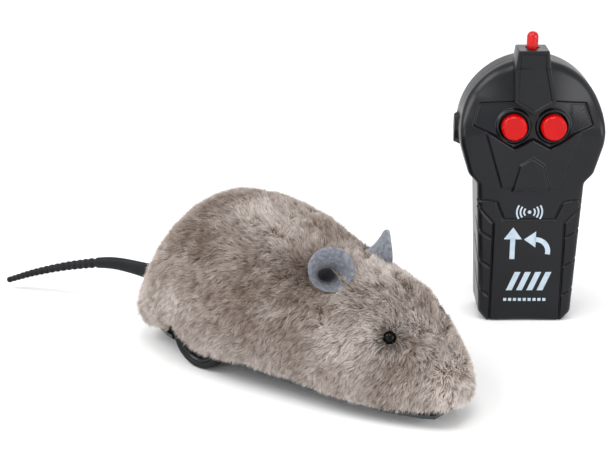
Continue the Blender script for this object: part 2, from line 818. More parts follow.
def tail_girth(share):
    """Half width and half thickness: a flat strap at the root that turns into round beads."""
    if share < TAIL_BEAD_START_SHARE:
        blend = share / TAIL_BEAD_START_SHARE
        return (
            TAIL_HALF_WIDTH + (TAIL_MID_RADIUS - TAIL_HALF_WIDTH) * blend**2,
            TAIL_HALF_THICKNESS + (TAIL_MID_RADIUS - TAIL_HALF_THICKNESS) * blend**2,
        )
    taper = (share - TAIL_BEAD_START_SHARE) / (1 - TAIL_BEAD_START_SHARE)
    radius = TAIL_MID_RADIUS + (TAIL_TIP_RADIUS - TAIL_MID_RADIUS) * taper
    return radius, radius


def tail_rings():
    bead_steps = 2 * TAIL_BEADS
    beaded = 1 - TAIL_BEAD_START_SHARE
    shares = [TAIL_BEAD_START_SHARE * i / TAIL_STRAP_STEPS for i in range(TAIL_STRAP_STEPS)]
    shares += [TAIL_BEAD_START_SHARE + beaded * i / bead_steps for i in range(bead_steps + 1)]
    fine = smooth_route(tail_route(), TAIL_FINE_STEPS)
    rings = []
    for order, share in enumerate(shares):
        at = min(round(share * TAIL_FINE_STEPS), TAIL_FINE_STEPS - 1)
        heading = (fine[at + 1] - fine[max(at - 1, 0)]).normalized()
        across = heading.cross(Vector((0, 0, 1))).normalized()
        up = across.cross(heading)
        width, thickness = tail_girth(share)
        on_neck = order >= TAIL_STRAP_STEPS and (order - TAIL_STRAP_STEPS) % 2 == 0
        narrow = 1 - TAIL_BEAD_SHARE if on_neck else 1
        centre = fine[round(share * TAIL_FINE_STEPS)]
        corners = disc_outline(1, TAIL_SIDES, start=math.pi / TAIL_SIDES)
        rings.append([centre + narrow * (across * (width * a) + up * (thickness * b)) for a, b in corners])
    return rings


def make_tail(rubber, mouse):
    tail = piece("tail", lofted(tail_rings()), rubber, mouse)
    root = HULL_INSET + HULL_WALL + GAP
    low = (root, -TAIL_ANCHOR_HALF_WIDTH, TAIL_HEIGHT - TAIL_HALF_THICKNESS)
    fuse(tail, box(low, (root + TAIL_ANCHOR, TAIL_ANCHOR_HALF_WIDTH, TAIL_HEIGHT + TAIL_HALF_THICKNESS)))


def make_face(felt, bead, mouse):
    for side, name in ((-1, "right"), (1, "left")):
        ear = piece(f"ear_{name}", turned_by(ear_shape(), ear_frame(side)), felt, mouse)
        fuse(ear, turned_by(ear_stem(), ear_frame(side)))
        piece(f"eye_{name}", turned_by(eye_shape(), eye_frame(side)), bead, mouse)


# The chassis and what is fixed to it
def tub_half_width(x):
    flank, _, _ = body_sizes(x, 0)
    return flank * (1 - TUCK_SHARE) - HULL_INSET


def chassis_ring(x):
    _, hem, _ = body_sizes(x, 0)
    wall = tub_half_width(x)
    sill = wall - SILL_TUCK
    lip = wall + FLANGE_REACH
    lip_top = hem - GAP
    top = SEAM_HEIGHT - GAP
    right = [(sill, CHASSIS_BOTTOM), (lip, lip_top - FLANGE), (lip, lip_top), (wall, lip_top), (wall, top)]
    return [(x, y, z) for y, z in right] + [(x, -y, z) for y, z in reversed(right)]


def cavity_ring(x):
    half = tub_half_width(x) - CHASSIS_WALL
    top = SEAM_HEIGHT + OVERRUN
    return [(x, half, FLOOR_TOP), (x, half, top), (x, -half, top), (x, -half, FLOOR_TOP)]


def bearing_post(side):
    """A post with a bored head for one axle bush."""
    centre = side * (WHEEL_INNER - 2 * GAP - BUSH_LENGTH / 2)
    outline = [(AXLE_X - POST_LENGTH / 2, CHASSIS_BOTTOM), (AXLE_X + POST_LENGTH / 2, CHASSIS_BOTTOM)]
    head = BUSH_RADIUS + GAP + POST_TOP_WALL
    for i in range(7):
        angle = math.pi * i / 6
        outline.append((AXLE_X + head * math.cos(angle), WHEEL_RADIUS + head * math.sin(angle)))
    return prism(outline, centre - BUSH_LENGTH / 2, centre + BUSH_LENGTH / 2)


def bay_walls():
    """Ribs round the cells: one along each side and one across the rear."""
    top = FLOOR_TOP + RIB_HEIGHT
    low = CHASSIS_BOTTOM + CHASSIS_FLOOR / 2
    inner = BAY_HALF_WIDTH
    outer = inner + RIB_THICKNESS
    front = HATCH_FRONT_X + GAP
    rear = BAY_REAR_X - RIB_THICKNESS
    outline = ((rear, -outer), (front, -outer), (front, -inner), (BAY_REAR_X, -inner))
    outline += ((BAY_REAR_X, inner), (front, inner), (front, outer), (rear, outer))
    return prism(outline, low, top, "Z")


def make_chassis(plastic, mouse):
    rings = [chassis_ring(x) for x in stations(HULL_INSET, CHASSIS_RINGS)]
    chassis = piece("chassis_base", lofted(rings), plastic, mouse)
    inner = stations(HULL_INSET + CHASSIS_WALL, CHASSIS_RINGS)
    carve(chassis, lofted([cavity_ring(x) for x in inner]))
    cup_outer = CUP_RADIUS + CUP_WALL
    cup = rod(cup_outer, CHASSIS_BOTTOM, CUP_TOP + CUP_ROOF, "Z", (CASTER_X, 0), 20)
    fuse(chassis, gathered([mirrored_sides(bearing_post), cup]))
    boss_top = CHASSIS_BOTTOM + SCREW_BOSS_HEIGHT
    bosses = [rod(SCREW_BOSS_RADIUS, CHASSIS_BOTTOM, boss_top, "Z", place, 10) for place in screw_places()]
    fuse(chassis, gathered(bosses))
    fuse(chassis, bay_walls())
    hatch = box((DOOR_REAR_X, -BAY_HALF_WIDTH, 0), (HATCH_FRONT_X, BAY_HALF_WIDTH, FLOOR_TOP + GAP))
    carve(chassis, hatch)
    boss_low, door_boss_top = FLOOR_TOP + GAP, FLOOR_TOP + DOOR_BOSS_HEIGHT
    bridge_high = (BAY_REAR_X - RIB_THICKNESS / 2, RIB_THICKNESS, door_boss_top)
    bridge = box((DOOR_SCREW_X, -RIB_THICKNESS, boss_low), bridge_high)
    fuse(chassis, rod(DOOR_BOSS_RADIUS, boss_low, door_boss_top, "Z", (DOOR_SCREW_X, 0), 12))
    fuse(chassis, bridge)
    carve(chassis, wheel_wells(BODY_WIDTH / 2))
    carve(chassis, rod(CUP_RADIUS, 0, CUP_TOP, "Z", (CASTER_X, 0), 20))
    through = [
        rod(FORK_STEM_RADIUS + RUNNING_GAP, 0, CUP_TOP + 2 * CUP_ROOF, "Z", (CASTER_X, 0), 12),
        rod(SCREW_RADIUS + GAP, FLOOR_TOP, door_boss_top + OVERRUN, "Z", (DOOR_SCREW_X, 0), 8),
    ]
    for place in screw_places():
        through.append(rod(SCREW_RADIUS + GAP, 0, boss_top + OVERRUN, "Z", place, 8))
    carve(chassis, gathered(through))
    heads = []
    for place in screw_places():
        heads.append(rod(SCREW_HEAD_RADIUS + GAP, 0, CHASSIS_BOTTOM + SCREW_HEAD + 2 * GAP, "Z", place, 10))
    carve(chassis, gathered(heads))
    bush_hole = rod(BUSH_RADIUS + GAP, -BODY_WIDTH / 2, BODY_WIDTH / 2, "Y", (AXLE_X, WHEEL_RADIUS), 12)
    carve(chassis, bush_hole)
    slot_length = KNOB_LENGTH / 2 + KNOB_TRAVEL + 2 * GAP
    slot_low = (SWITCH_X - KNOB_WIDTH / 2 - GAP, -KNOB_LENGTH / 2 - 2 * GAP, 0)
    carve(chassis, box(slot_low, (SWITCH_X + KNOB_WIDTH / 2 + GAP, slot_length, FLOOR_TOP + GAP)))


def screw_shape(head_radius, head, shank_radius, length, steps=10):
    """A pan-headed screw along Z, its head's top at zero, pointing up."""
    slot = head_radius / 2
    profile = [(0, head / 2), (slot, 0), (head_radius, head / 4), (head_radius, head), (shank_radius, head)]
    return turned(profile + [(shank_radius, length - shank_radius), (0, length)], steps, "Z")


def make_chassis_screws(steel, mouse):
    low = CHASSIS_BOTTOM + GAP
    length = SCREW_BOSS_HEIGHT + SCREW_BITE - 2 * GAP
    for number, (x, y) in enumerate(screw_places(), 1):
        screw = moved(screw_shape(SCREW_HEAD_RADIUS, SCREW_HEAD, SCREW_RADIUS, length), (x, y, low))
        piece(f"chassis_screw_{number}", screw, steel, mouse)


def make_battery_door(plastic, steel, mouse):
    """A plate with two hooked tabs at its front, on which it tips open."""
    front = HATCH_FRONT_X - DOOR_FRONT_GAP
    top = CHASSIS_BOTTOM + DOOR_PLATE
    side = [
        (DOOR_REAR_X + GAP, CHASSIS_BOTTOM),
        (front - DOOR_FRONT_BEVEL, CHASSIS_BOTTOM),
        (front, top),
        (DOOR_REAR_X + GAP, top),
    ]
    hinge = Vector((HATCH_FRONT_X, 0, DOOR_HINGE_Z))
    half = BAY_HALF_WIDTH - GAP
    door = piece("battery_door", moved(prism(side, -half, half), -hinge), plastic, mouse, hinge)

    def tab(side_of_middle):
        middle = side_of_middle * DOOR_TAB_SPREAD / 2
        low, high = middle - DOOR_TAB_WIDTH / 2, middle + DOOR_TAB_WIDTH / 2
        tip = HATCH_FRONT_X + DOOR_TAB_LENGTH - DOOR_FRONT_MARGIN / 2
        heel = BAY_FRONT_X + RIB_THICKNESS
        tab_top = DOOR_HINGE_Z + DOOR_TAB_THICKNESS
        outline = ((heel, top - DOOR_PLATE / 2), (front, top - DOOR_PLATE / 2), (front, DOOR_HINGE_Z))
        outline += ((tip, DOOR_HINGE_Z), (tip, tab_top), (heel, tab_top))
        return moved(prism(outline, low, high), -hinge)

    fuse(door, mirrored_sides(tab))
    first = DOOR_REAR_X + SCREW_BOSS_RADIUS + 2 * THUMB_RIB_PITCH
    ribs = []
    for i in range(THUMB_RIB_COUNT):
        x = first + i * THUMB_RIB_PITCH
        low = (x, -THUMB_RIB_LENGTH / 2, CHASSIS_BOTTOM - THUMB_RIB_PROUD)
        ribs.append(box(low, (x + THUMB_RIB_WIDTH, THUMB_RIB_LENGTH / 2, CHASSIS_BOTTOM + THUMB_RIB_PROUD)))
    fuse(door, moved(gathered(ribs), -hinge))
    recess = rod(SCREW_HEAD_RADIUS + GAP, 0, CHASSIS_BOTTOM + DOOR_PLATE / 2, "Z", (DOOR_SCREW_X, 0), 14)
    carve(door, moved(recess, -hinge))
    shank_hole = rod(SCREW_RADIUS + GAP, 0, FLOOR_TOP, "Z", (DOOR_SCREW_X, 0), 10)
    carve(door, moved(shank_hole, -hinge))
    head = DOOR_PLATE / 2 - GAP / 3
    length = DOOR_PLATE + DOOR_BOSS_HEIGHT
    screw = screw_shape(SCREW_HEAD_RADIUS, head, SCREW_RADIUS, length)
    screw_place = Vector((DOOR_SCREW_X, 0, CHASSIS_BOTTOM - GAP / 2)) - hinge
    piece("battery_door_screw", moved(screw, screw_place), steel, mouse, hinge)


def cell_shape(radius, length, nub_radius, nub, axis, steps=12):
    """A dry cell with its raised contact, from its flat end at zero."""
    can = length - nub
    edge = nub / 2
    profile = [(0, 0), (radius - edge, 0), (radius, edge), (radius, can - edge), (radius - edge, can)]
    return turned(profile + [(nub_radius, can), (nub_radius, length), (0, length)], steps, axis)


def make_cells(wrap, brass, mouse):
    first = -CELL_PITCH * (CELL_COUNT - 1) / 2
    for i in range(CELL_COUNT):
        shape = cell_shape(CELL_RADIUS, CELL_LENGTH, CELL_NUB_RADIUS, CELL_NUB, "X")
        if i % 2:
            points, faces = shape
            shape = [(CELL_LENGTH - x, y, z) for x, y, z in points], faces
        piece(f"battery_cell_{i + 1}", moved(shape, (CELL_X, first + i * CELL_PITCH, CELL_Z)), wrap, mouse)
    foot = FLOOR_TOP + GAP
    half = BAY_HALF_WIDTH - GAP
    for name, x in (("rear", BAY_REAR_X + GAP), ("front", BAY_FRONT_X - CONTACT_THICKNESS - GAP)):
        plate = box((x, -half, foot), (x + CONTACT_THICKNESS, half, foot + CONTACT_HEIGHT))
        contact = piece(f"battery_contact_{name}", plate, brass, mouse)
        split = CELL_PITCH / 2 if name == "rear" else -CELL_PITCH / 2
        notch_low = (x - OVERRUN, split - RIB_THICKNESS / 2, foot + CONTACT_HEIGHT / 3)
        carve(contact, box(notch_low, (x + OVERRUN, split + RIB_THICKNESS / 2, foot + 2 * CONTACT_HEIGHT)))


def make_power_switch(plastic, knob_plastic, mouse):
    base = FLOOR_TOP + GAP + KNOB_PROUD / 2 + GAP
    low = (SWITCH_X - SWITCH_WIDTH / 2, -SWITCH_LENGTH / 2 + KNOB_TRAVEL / 2, base)
    high = (SWITCH_X + SWITCH_WIDTH / 2, SWITCH_LENGTH / 2 + KNOB_TRAVEL / 2, base + SWITCH_HEIGHT)
    body = piece("power_switch_body", box(low, high), plastic, mouse)
    foot_low = FLOOR_TOP + GAP
    feet = []
    for y in (low[1], high[1] - RIB_THICKNESS):
        feet.append(box((low[0], y, foot_low), (high[0], y + RIB_THICKNESS, base + GAP)))
    fuse(body, gathered(feet))
    half = KNOB_LENGTH / 2
    knob_low = CHASSIS_BOTTOM - KNOB_PROUD
    knob = box((-KNOB_WIDTH / 2, -half, knob_low), (KNOB_WIDTH / 2, half, base - GAP))
    piece("power_switch_knob", knob, knob_plastic, mouse, (SWITCH_X, 0, 0))


# The drive: gears, axle, wheels and motor
def gear_outline(teeth, phase):
    """Straight-flanked teeth, thinned for running play; phase is the angle of one tooth's middle."""
    pitch_radius = TOOTH_MODULE * teeth / 2
    tip = pitch_radius + TOOTH_MODULE * TIP_SHARE
    root = pitch_radius - TOOTH_MODULE * ROOT_SHARE
    pitch = math.tau / teeth
    outline = []
    for tooth in range(teeth):
        middle = phase + tooth * pitch
        for radius, share in (
            (root, -TOOTH_ROOT_SHARE),
            (tip, -TOOTH_TIP_SHARE),
            (tip, TOOTH_TIP_SHARE),
            (root, TOOTH_ROOT_SHARE),
        ):
            angle = middle + share * pitch
            outline.append((radius * math.cos(angle), radius * math.sin(angle)))
    return outline


def make_axle_set(steel, nylon, wheel_plastic, tyre_rubber, mouse):
    centre = (AXLE_X, 0, WHEEL_RADIUS)
    reach = WHEEL_OUTER - AXLE_INSET
    piece("rear_axle", rod(AXLE_RADIUS, -reach, reach, "Y", steps=16), steel, mouse, centre)
    bore = rod(AXLE_RADIUS + GAP, -BODY_WIDTH, BODY_WIDTH, "Y", steps=16)
    teeth = prism(gear_outline(GEAR_TEETH, IDLER_LEAN), FIRST_MESH_Y, FIRST_MESH_Y + GEAR_FACE)
    gear = piece("axle_gear", teeth, nylon, mouse, centre)
    carve(gear, bore)
    for side, name in ((-1, "right"), (1, "left")):
        tyre = moved(tyre_shape(), (0, side * (WHEEL_INNER + WHEEL_OUTER) / 2, 0))
        piece(f"tyre_{name}", tyre, tyre_rubber, mouse, centre)
        points, faces = wheel_shape()
        hub = [(x, side * y, z) for x, y, z in points], faces
        piece(f"wheel_{name}", hub, wheel_plastic, mouse, centre)


def tyre_shape():
    half = WHEEL_WIDTH / 2
    inner = WHEEL_RADIUS - TYRE_THICKNESS
    profile = [
        (inner, -half),
        (WHEEL_RADIUS - TYRE_ROUND, -half),
        (WHEEL_RADIUS, -half + TYRE_ROUND),
        (WHEEL_RADIUS, half - TYRE_ROUND),
        (WHEEL_RADIUS - TYRE_ROUND, half),
        (inner, half),
    ]
    return turned(profile, WHEEL_STEPS)


def wheel_shape():
    """A dished wheel with a bored boss, on the left side of the mouse."""
    rim = WHEEL_RADIUS - TYRE_THICKNESS - GAP
    bore = AXLE_RADIUS + GAP
    face = WHEEL_OUTER - GAP
    dish = face - DISH_DEPTH
    profile = [
        (bore, WHEEL_INNER + GAP),
        (rim, WHEEL_INNER + GAP),
        (rim, face),
        (rim - DISH_DEPTH / 2, face),
        (rim - DISH_DEPTH, dish),
        (HUB_BOSS_RADIUS, dish),
        (HUB_BOSS_RADIUS, face),
        (bore, face),
    ]
    return turned(profile, WHEEL_STEPS)


def make_bushes(brass, mouse):
    for side, name in ((-1, "right"), (1, "left")):
        middle = side * (WHEEL_INNER - 2 * GAP - BUSH_LENGTH / 2)
        low, high = middle - BUSH_LENGTH / 2, middle + BUSH_LENGTH / 2
        bore = AXLE_RADIUS + RUNNING_GAP
        profile = [(bore, low), (BUSH_RADIUS, low), (BUSH_RADIUS, high), (bore, high)]
        piece(f"axle_bush_{name}", moved(turned(profile, 12), (AXLE_X, 0, WHEEL_RADIUS)), brass, mouse)


def gear_plate_outline():
    """A plate outline round the axle, the idler and the motor shaft, with flat feet."""
    foot = FLOOR_TOP + GAP
    low_x = AXLE_X - PLATE_MARGIN
    high_x = MOTOR_X + PLATE_MARGIN
    foot_x = DOOR_REAR_X - PLATE_MARGIN / 2
    top = IDLER_Z + PLATE_MARGIN
    shoulder = WHEEL_RADIUS + PLATE_MARGIN
    outline = [(low_x, foot), (foot_x, foot), (high_x, WHEEL_RADIUS), (high_x, top - PLATE_MARGIN / 3)]
    return outline + [(high_x - PLATE_MARGIN / 3, top), (IDLER_X - PLATE_MARGIN / 2, top), (low_x, shoulder)]


def make_gearbox(nylon, steel, mouse):
    pin_reach = GEARBOX_LEFT_Y + GEAR_PLATE
    for name, y in (("outer", GEARBOX_RIGHT_Y), ("inner", GEARBOX_LEFT_Y)):
        plate = piece(f"gearbox_plate_{name}", prism(gear_plate_outline(), y, y + GEAR_PLATE), nylon, mouse)
        low, high = y - OVERRUN, y + OVERRUN
        shaft_hole = MOTOR_SHAFT_RADIUS + RUNNING_GAP
        holes = [
            rod(AXLE_RADIUS + RUNNING_GAP, low, high, "Y", (AXLE_X, WHEEL_RADIUS), 16),
            rod(IDLER_PIN_RADIUS + GAP, low, high, "Y", (IDLER_X, IDLER_Z), 10),
            rod(shaft_hole, low, high, "Y", (MOTOR_X, MOTOR_Z), 12),
        ]
        carve(plate, gathered(holes))
    pin = rod(IDLER_PIN_RADIUS, GEARBOX_RIGHT_Y, pin_reach, "Y", (IDLER_X, IDLER_Z), 10)
    piece("idler_pin", pin, steel, mouse)


def make_idler(nylon, mouse):
    """A big gear and a small one in a piece, on the fixed pin."""
    centre = (IDLER_X, 0, IDLER_Z)
    half_tooth = math.pi / PINION_TEETH
    small = prism(gear_outline(PINION_TEETH, IDLER_LEAN + math.pi + half_tooth), FIRST_MESH_Y, SECOND_MESH_Y)
    big = prism(gear_outline(GEAR_TEETH, 0), SECOND_MESH_Y, SECOND_MESH_Y + GEAR_FACE)
    idler = piece("idler_gear", big, nylon, mouse, centre)
    small_low = [(x, y if y < SECOND_MESH_Y else y + GEAR_FACE / 2, z) for x, y, z in small[0]]
    fuse(idler, (small_low, small[1]))
    carve(idler, rod(IDLER_PIN_RADIUS + RUNNING_GAP, -BODY_WIDTH, BODY_WIDTH, "Y", steps=10))


def motor_outline(size=1):
    """A round can with two flats, above and below."""
    radius = MOTOR_RADIUS * size
    start = math.asin(MOTOR_FLAT / MOTOR_RADIUS)
    outline = []
    for middle in (0, math.pi):
        for i in range(7):
            angle = middle - start + 2 * start * i / 6
            outline.append((MOTOR_X + radius * math.cos(angle), MOTOR_Z + radius * math.sin(angle)))
    return outline


def make_motor(steel, cap_plastic, pinion_brass, mouse):
    can_end = MOTOR_Y + MOTOR_LENGTH
    can = piece("drive_motor", prism(motor_outline(), MOTOR_Y, can_end), steel, mouse)
    bore_end = MOTOR_Y + MOTOR_SHAFT_BITE + GAP
    carve(can, rod(MOTOR_SHAFT_RADIUS + RUNNING_GAP, -BODY_WIDTH, bore_end, "Y", (MOTOR_X, MOTOR_Z), 12))
    cap_outline = motor_outline(MOTOR_CAP_SHARE)
    cap_low = can_end + GAP
    cap_thickness = MOTOR_CAP_LENGTH - GAP
    cap = piece("motor_end_cap", prism(cap_outline, cap_low, cap_low + cap_thickness / 2), cap_plastic, mouse)
    fuse(cap, rod(MOTOR_FLAT / 2, cap_low, cap_low + cap_thickness, "Y", (MOTOR_X, MOTOR_Z), 14))
    centre = (MOTOR_X, 0, MOTOR_Z)
    half_tooth = math.pi / PINION_TEETH
    teeth = prism(gear_outline(PINION_TEETH, math.pi + half_tooth), SECOND_MESH_Y, SECOND_MESH_Y + GEAR_FACE)
    pinion = piece("motor_pinion", teeth, pinion_brass, mouse, centre)
    fuse(pinion, rod(MOTOR_SHAFT_RADIUS, FIRST_MESH_Y, MOTOR_Y + MOTOR_SHAFT_BITE, "Y", steps=10))


# The swivelling front wheel
def make_caster(nylon, steel, mouse):
    stem = (CASTER_X, 0, 0)
    cheek_inner = CASTER_WIDTH / 2 + RUNNING_GAP
    cheek_outer = cheek_inner + FORK_CHEEK
    bridge_top = BRIDGE_Z + FORK_BRIDGE
    crown = rod(FORK_CROWN_RADIUS, BRIDGE_Z, bridge_top, "Z", steps=16)
    fork = piece("caster_fork", crown, nylon, mouse, stem)
    eye = 2 * CASTER_PIN_RADIUS + GAP
    outline = [(-CASTER_TRAIL - eye, CASTER_RADIUS - eye), (-CASTER_TRAIL + eye, CASTER_RADIUS - eye)]
    outline += [(eye, BRIDGE_Z + FORK_BRIDGE / 2), (-CASTER_TRAIL - eye / 3, BRIDGE_Z + FORK_BRIDGE / 2)]

    def cheek(side):
        low, high = sorted((side * cheek_inner, side * cheek_outer))
        return prism(outline, low, high)

    fuse(fork, mirrored_sides(cheek))
    stem_top = CUP_TOP + CUP_ROOF + 2 * GAP
    snap = [
        (0, BRIDGE_Z + FORK_BRIDGE / 2),
        (FORK_STEM_RADIUS, BRIDGE_Z + FORK_BRIDGE / 2),
        (FORK_STEM_RADIUS, stem_top),
        (FORK_STEM_RADIUS + 3 * GAP, stem_top + GAP),
        (FORK_STEM_RADIUS / 2, stem_top + FORK_STEM_RADIUS),
        (0, stem_top + FORK_STEM_RADIUS),
    ]
    fuse(fork, turned(snap, 10, "Z"))
    pin_place = (-CASTER_TRAIL, CASTER_RADIUS)
    through = cheek_outer + OVERRUN
    carve(fork, rod(CASTER_PIN_RADIUS + GAP, -through, through, "Y", pin_place, 10))
    pin = rod(CASTER_PIN_RADIUS, -cheek_outer, cheek_outer, "Y", pin_place, 10)
    piece("caster_pin", pin, steel, mouse, stem)
    bore = CASTER_PIN_RADIUS + RUNNING_GAP
    half = CASTER_WIDTH / 2
    edge = CASTER_RADIUS / 8
    profile = [(bore, -half), (CASTER_RADIUS - edge, -half), (CASTER_RADIUS, -half + edge)]
    profile += [(CASTER_RADIUS, half - edge), (CASTER_RADIUS - edge, half), (bore, half)]
    piece("caster_wheel", turned(profile, 20), nylon, mouse, (CASTER_X - CASTER_TRAIL, 0, CASTER_RADIUS))


# The receiver and the wires inside the mouse
def make_receiver(board_green, chip_black, wire_red, wire_white, mouse):
    board_front = BOARD_REAR_X + BOARD_LENGTH
    half = BOARD_WIDTH / 2
    board_top = BOARD_Z + BOARD_THICKNESS
    plate = box((BOARD_REAR_X, -half, BOARD_Z), (board_front, half, board_top))
    board = piece("receiver_board", plate, board_green, mouse)
    feet = []
    foot_low = CELL_Z + CELL_RADIUS + GAP
    chip_x = BOARD_REAR_X + BOARD_LENGTH / 2
    for y in (-CELL_PITCH, 0, CELL_PITCH):
        low = (chip_x - CHIP_WIDTH / 2, y - RIB_THICKNESS / 2, foot_low)
        feet.append(box(low, (chip_x + CHIP_WIDTH / 2, y + RIB_THICKNESS / 2, BOARD_Z + GAP)))
    fuse(board, gathered(feet))
    chip_low = board_top - BOARD_THICKNESS / 2
    can_x = board_front - 2 * CAN_RADIUS
    chip_high = (chip_x + CHIP_WIDTH, CHIP_LENGTH / 2, chip_low + CHIP_HEIGHT)
    parts = [
        box((chip_x, -CHIP_LENGTH / 2, chip_low), chip_high),
        rod(CAN_RADIUS, chip_low, chip_low + CAN_HEIGHT, "Z", (can_x, half / 2), 12),
        rod(CAN_RADIUS, chip_low, chip_low + CAN_HEIGHT, "Z", (can_x, -half / 2), 12),
    ]
    fuse(board, gathered(parts))
    solder = board_top + WIRE_RADIUS + GAP
    rear = BOARD_REAR_X + 4 * WIRE_RADIUS
    cap_y = MOTOR_Y + MOTOR_LENGTH + MOTOR_CAP_LENGTH + WIRE_RADIUS + GAP
    for side, name, colour in ((-1, "black", chip_black), (1, "red", wire_red)):
        terminal = MOTOR_Z + side * MOTOR_FLAT / 2
        apart = side * 2 * WIRE_RADIUS
        route = [
            (MOTOR_X + MOTOR_FLAT / 2, cap_y, terminal),
            (MOTOR_X + MOTOR_RADIUS, cap_y + WIRE_RADIUS, terminal + MOTOR_FLAT / 3),
            (MOTOR_X + 3 * MOTOR_RADIUS / 2, cap_y - MOTOR_FLAT, solder + MOTOR_FLAT / 2 + apart),
            (rear, half / 2 + apart, solder),
        ]
        wire(f"motor_lead_{name}", route, WIRE_RADIUS, colour, mouse)
    tail_root = HULL_INSET + HULL_WALL + TAIL_ANCHOR + 4 * GAP
    aerial_y = -half / 2
    aerial = [
        (rear, aerial_y, solder),
        (BOARD_REAR_X - MOTOR_RADIUS, aerial_y, solder + MOTOR_FLAT),
        (MOTOR_X, aerial_y, MOTOR_Z + MOTOR_RADIUS + MOTOR_FLAT),
        (AXLE_X - MOTOR_RADIUS, aerial_y / 2, MOTOR_Z + MOTOR_FLAT),
        (tail_root + TAIL_ANCHOR, 0, TAIL_HEIGHT),
    ]
    wire("aerial_wire", aerial, AERIAL_RADIUS, wire_white, mouse)


# The hand-held control, in its own frame: X to its right as one looks at its face, Y into its depth
def scaled(shares):
    return [(across * CONTROL_HALF_WIDTH, control_up(up)) for across, up in shares]


def control_outline(inset=0.0):
    """The round head, the chamfer into the grip and the cut corners of the base."""
    radius = CONTROL_HALF_WIDTH - inset
    head_z = control_up(HEAD_CENTRE_SHARE)
    outline = []
    for i in range(HEAD_STEPS + 1):
        angle = -HEAD_DIP + (math.pi + 2 * HEAD_DIP) * i / HEAD_STEPS
        outline.append((radius * math.cos(angle), head_z + radius * math.sin(angle)))
    side = scaled(OUTLINE_SHARES)
    left = [(inset - x, max(z, inset)) for x, z in side]
    right = [(x - inset, max(z, inset)) for x, z in reversed(side)]
    return outline + left + right


def shell_rings(faces):
    """Outline rings at (depth, inset) pairs, for a shell with rounded edges."""
    return [[(x, depth, z) for x, z in control_outline(inset)] for depth, inset in faces]


def rounded_edge(face, direction):
    """Depth and inset pairs round the edge of a shell, from its face to its side."""
    pairs = []
    for i in range(EDGE_ROUND_STEPS + 1):
        angle = math.pi / 2 * i / EDGE_ROUND_STEPS
        depth = direction * EDGE_ROUND * (1 - math.sin(angle))
        pairs.append((face + depth, EDGE_ROUND * (1 - math.cos(angle))))
    return list(reversed(pairs))


def grip_half_width(z):
    """Half the width of the grip at a height, along its straight side."""
    (high_x, high_z), (low_x, low_z) = scaled(OUTLINE_SHARES)[1:3]
    return low_x + (high_x - low_x) * (z - low_z) / (high_z - low_z)


def grip_line(side):
    """The line down the inner edge of a grip panel, slanting out at its top."""
    inner = [(side * x, z) for x, z in scaled(GRIP_SHARES)]
    outer = [(x + side * GRIP_LINE_WIDTH, z) for x, z in reversed(inner)]
    return prism(inner + outer, -OVERRUN, GRIP_GROOVE_DEPTH)


def grip_grooves(side):
    """Three slanted grooves that follow a panel round the rounded edge of the grip."""
    inner = GRIP_SHARES[0][0] * CONTROL_HALF_WIDTH
    grooves = []
    for share in GRIP_GROOVE_SHARES:
        z = control_up(share)
        edge = grip_half_width(z)
        section = [(inner, -OVERRUN), (inner, GRIP_GROOVE_DEPTH)]
        for depth, inset in rounded_edge(0, 1):
            section.append((edge - inset - GRIP_GROOVE_DEPTH, depth + GRIP_GROOVE_DEPTH))
        section += [(edge + OVERRUN, EDGE_ROUND + GRIP_GROOVE_DEPTH), (edge + OVERRUN, -OVERRUN)]
        slope = GRIP_GROOVE_RISE / (edge - inner)
        rings = []
        for low in (z, z + GRIP_GROOVE_WIDTH):
            rings.append([(side * x, y, low + slope * (x - inner)) for x, y in section])
        grooves.append(lofted(rings))
    return gathered(grooves)


def brim_line():
    """A shallow line over the grip, between the two panels."""
    line = scaled(BRIM_SHARES)
    outline = line + [(x, z - BRIM_WIDTH) for x, z in reversed(line)]
    return prism(outline, -OVERRUN, BRIM_DEPTH)


def button_places():
    return [(side * BUTTON_SPREAD / 2, BUTTON_Z) for side in (-1, 1)]


def shell_screw_places():
    head = [(side * SHELL_SCREW_X, control_up(SHELL_SCREW_SHARE)) for side in (-1, 1)]
    return head + [(0, control_up(SHELL_SCREW_MID_SHARE)), (0, SHELL_SCREW_LOW)]


def crest_block():
    top = scaled(CREST_SHARES)[:2] + scaled(CREST_SHARES)[-2:]
    low = control_up(CREST_BLOCK_SHARE)
    outline = [top[0], top[1], (top[1][0], low), (-top[1][0], low), top[2], top[3]]
    return prism(outline, -CREST_PROUD, CREST_BLOCK_DEPTH)


